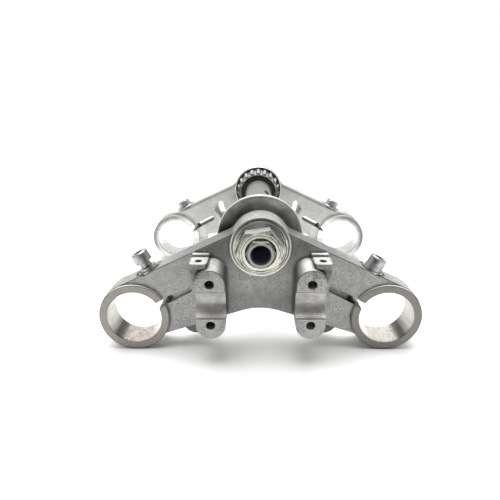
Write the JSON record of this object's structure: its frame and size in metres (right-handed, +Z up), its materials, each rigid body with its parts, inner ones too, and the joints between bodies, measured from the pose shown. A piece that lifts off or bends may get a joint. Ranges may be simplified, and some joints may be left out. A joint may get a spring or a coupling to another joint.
{
  "type": "motorcycle triple clamp",
  "caption": "Pair of cast fork yokes on a hollow steering stem with taper roller bearings, handlebar risers and pinch bolts that clamp the fork tubes.",
  "frame": {"origin": "on the steering axis, in the plane of the top yoke's upper cast face", "axes": "+X across the motorcycle, from the left fork ring to the right one as seen from above the stem nut; +Y down the steering axis, from the top yoke to the lower yoke; +Z up as the part lies on its fork rings, which is from the forks towards the steering stem"},
  "size_m": [0.2438, 0.246, 0.1155],
  "materials": {
    "cast_aluminium": "bead-blasted casting with machined fork bores and collars",
    "zinc_plated_steel": "bright zinc plate",
    "stem_steel": "ground steel",
    "bearing_steel": "polished hardened steel",
    "dark_cage": "black oxide pressed steel",
    "dark_cover": "dark phosphated sheet steel with a bare rolled rim"
  },
  "bodies": {
    "clamp": {"top_yoke": "cast_aluminium", "lower_yoke": "cast_aluminium", "steering_stem": "stem_steel", "stem_nut": "zinc_plated_steel", "stem_washer": "zinc_plated_steel", "bearing_adjuster_nut": "stem_steel", "upper_dust_cover": "dark_cover", "upper_bearing_cone": "bearing_steel", "lower_bearing_cone": "bearing_steel", "lower_dust_seal": "stem_steel", "top_pinch_bolt_left": "zinc_plated_steel", "top_pinch_bolt_right": "zinc_plated_steel", "top_pinch_lock_washer_left": "zinc_plated_steel", "top_pinch_lock_washer_right": "zinc_plated_steel", "top_pinch_washer_left": "zinc_plated_steel", "top_pinch_washer_right": "zinc_plated_steel", "lower_pinch_bolt_left": "zinc_plated_steel", "lower_pinch_bolt_right": "zinc_plated_steel"},
    "upper_bearing_cage_set": {"upper_bearing_cage": "dark_cage", "upper_bearing_rollers": "bearing_steel"},
    "lower_bearing_cage_set": {"lower_bearing_cage": "dark_cage", "lower_bearing_rollers": "bearing_steel"}
  },
  "joints": [
    {"name": "upper_bearing_turn", "type": "hinge", "parent": "clamp", "child": "upper_bearing_cage_set", "pos_m": [0, 0.034, 0], "axis": [0, 1, 0], "continuous": true},
    {"name": "lower_bearing_turn", "type": "hinge", "parent": "clamp", "child": "lower_bearing_cage_set", "pos_m": [0, 0.1885, 0], "axis": [0, 1, 0], "continuous": true}
  ]
}
